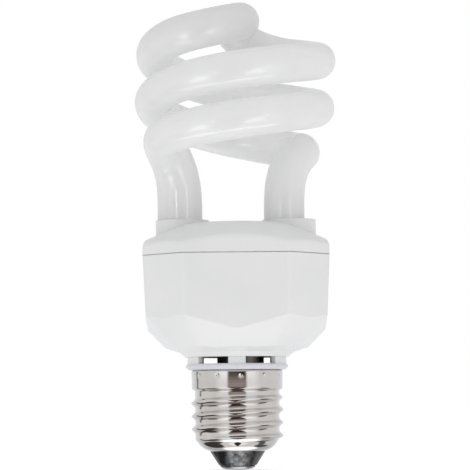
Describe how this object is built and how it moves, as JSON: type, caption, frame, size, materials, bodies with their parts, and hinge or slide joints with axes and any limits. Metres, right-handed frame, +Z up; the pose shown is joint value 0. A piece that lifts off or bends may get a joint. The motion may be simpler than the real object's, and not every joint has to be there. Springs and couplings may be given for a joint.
{
  "type": "compact fluorescent bulb",
  "caption": "Compact fluorescent reptile bulb with a milky double-spiral tube on an eight-sided white ballast housing and a nickelled screw cap.",
  "frame": {"origin": "centre of the flat on the cap's contact tip, the lowest point of the bulb", "axes": "+Z up the bulb's axis from the cap to the spiral; -Y towards the viewer of the picture"},
  "size_m": [0.0574, 0.057, 0.1321],
  "materials": {
    "tube_glass": "glossy milky white glass",
    "housing_plastic": "satin white moulded plastic",
    "cap_nickel": "bright nickel plate",
    "cap_glass": "glossy black vitrite",
    "contact_metal": "bright plated plate",
    "solder": "bright solder",
    "cement": "matt grey cream cement",
    "board": "matt brown laminate",
    "capacitor_sleeve": "glossy black sleeve",
    "ferrite": "matt dark grey ferrite",
    "bobbin_plastic": "matt black plastic",
    "copper": "lacquered copper wire",
    "transistor_case": "matt black epoxy",
    "diode_case": "matt black epoxy",
    "resistor_body": "matt beige lacquer",
    "diac_glass": "glossy blue",
    "film_case": "glossy dark red dip",
    "tinned_wire": "tinned wire",
    "wire_sleeve": "matt white sleeve"
  },
  "bodies": {
    "root": {"spiral_tube": "tube_glass", "top_cover": "housing_plastic", "lower_housing": "housing_plastic", "screw_shell": "cap_nickel", "cap_insulator": "cap_glass", "centre_contact": "contact_metal", "contact_solder": "solder", "tube_cement": "cement", "circuit_board": "board", "solder_joints": "solder", "storage_capacitor": "capacitor_sleeve", "choke_core": "ferrite", "choke_bobbin": "bobbin_plastic", "choke_winding": "copper", "drive_toroid": "ferrite", "drive_windings": "copper", "power_transistors": "transistor_case", "rectifier_diodes": "diode_case", "base_resistors": "resistor_body", "fuse_resistor": "resistor_body", "trigger_diac": "diac_glass", "resonance_capacitor": "film_case", "start_capacitor": "film_case", "coupling_capacitor": "film_case", "input_choke": "ferrite", "wrap_pins": "tinned_wire", "tube_leads": "tinned_wire", "contact_wire": "wire_sleeve", "shell_wire": "wire_sleeve"}
  },
  "joints": []
}
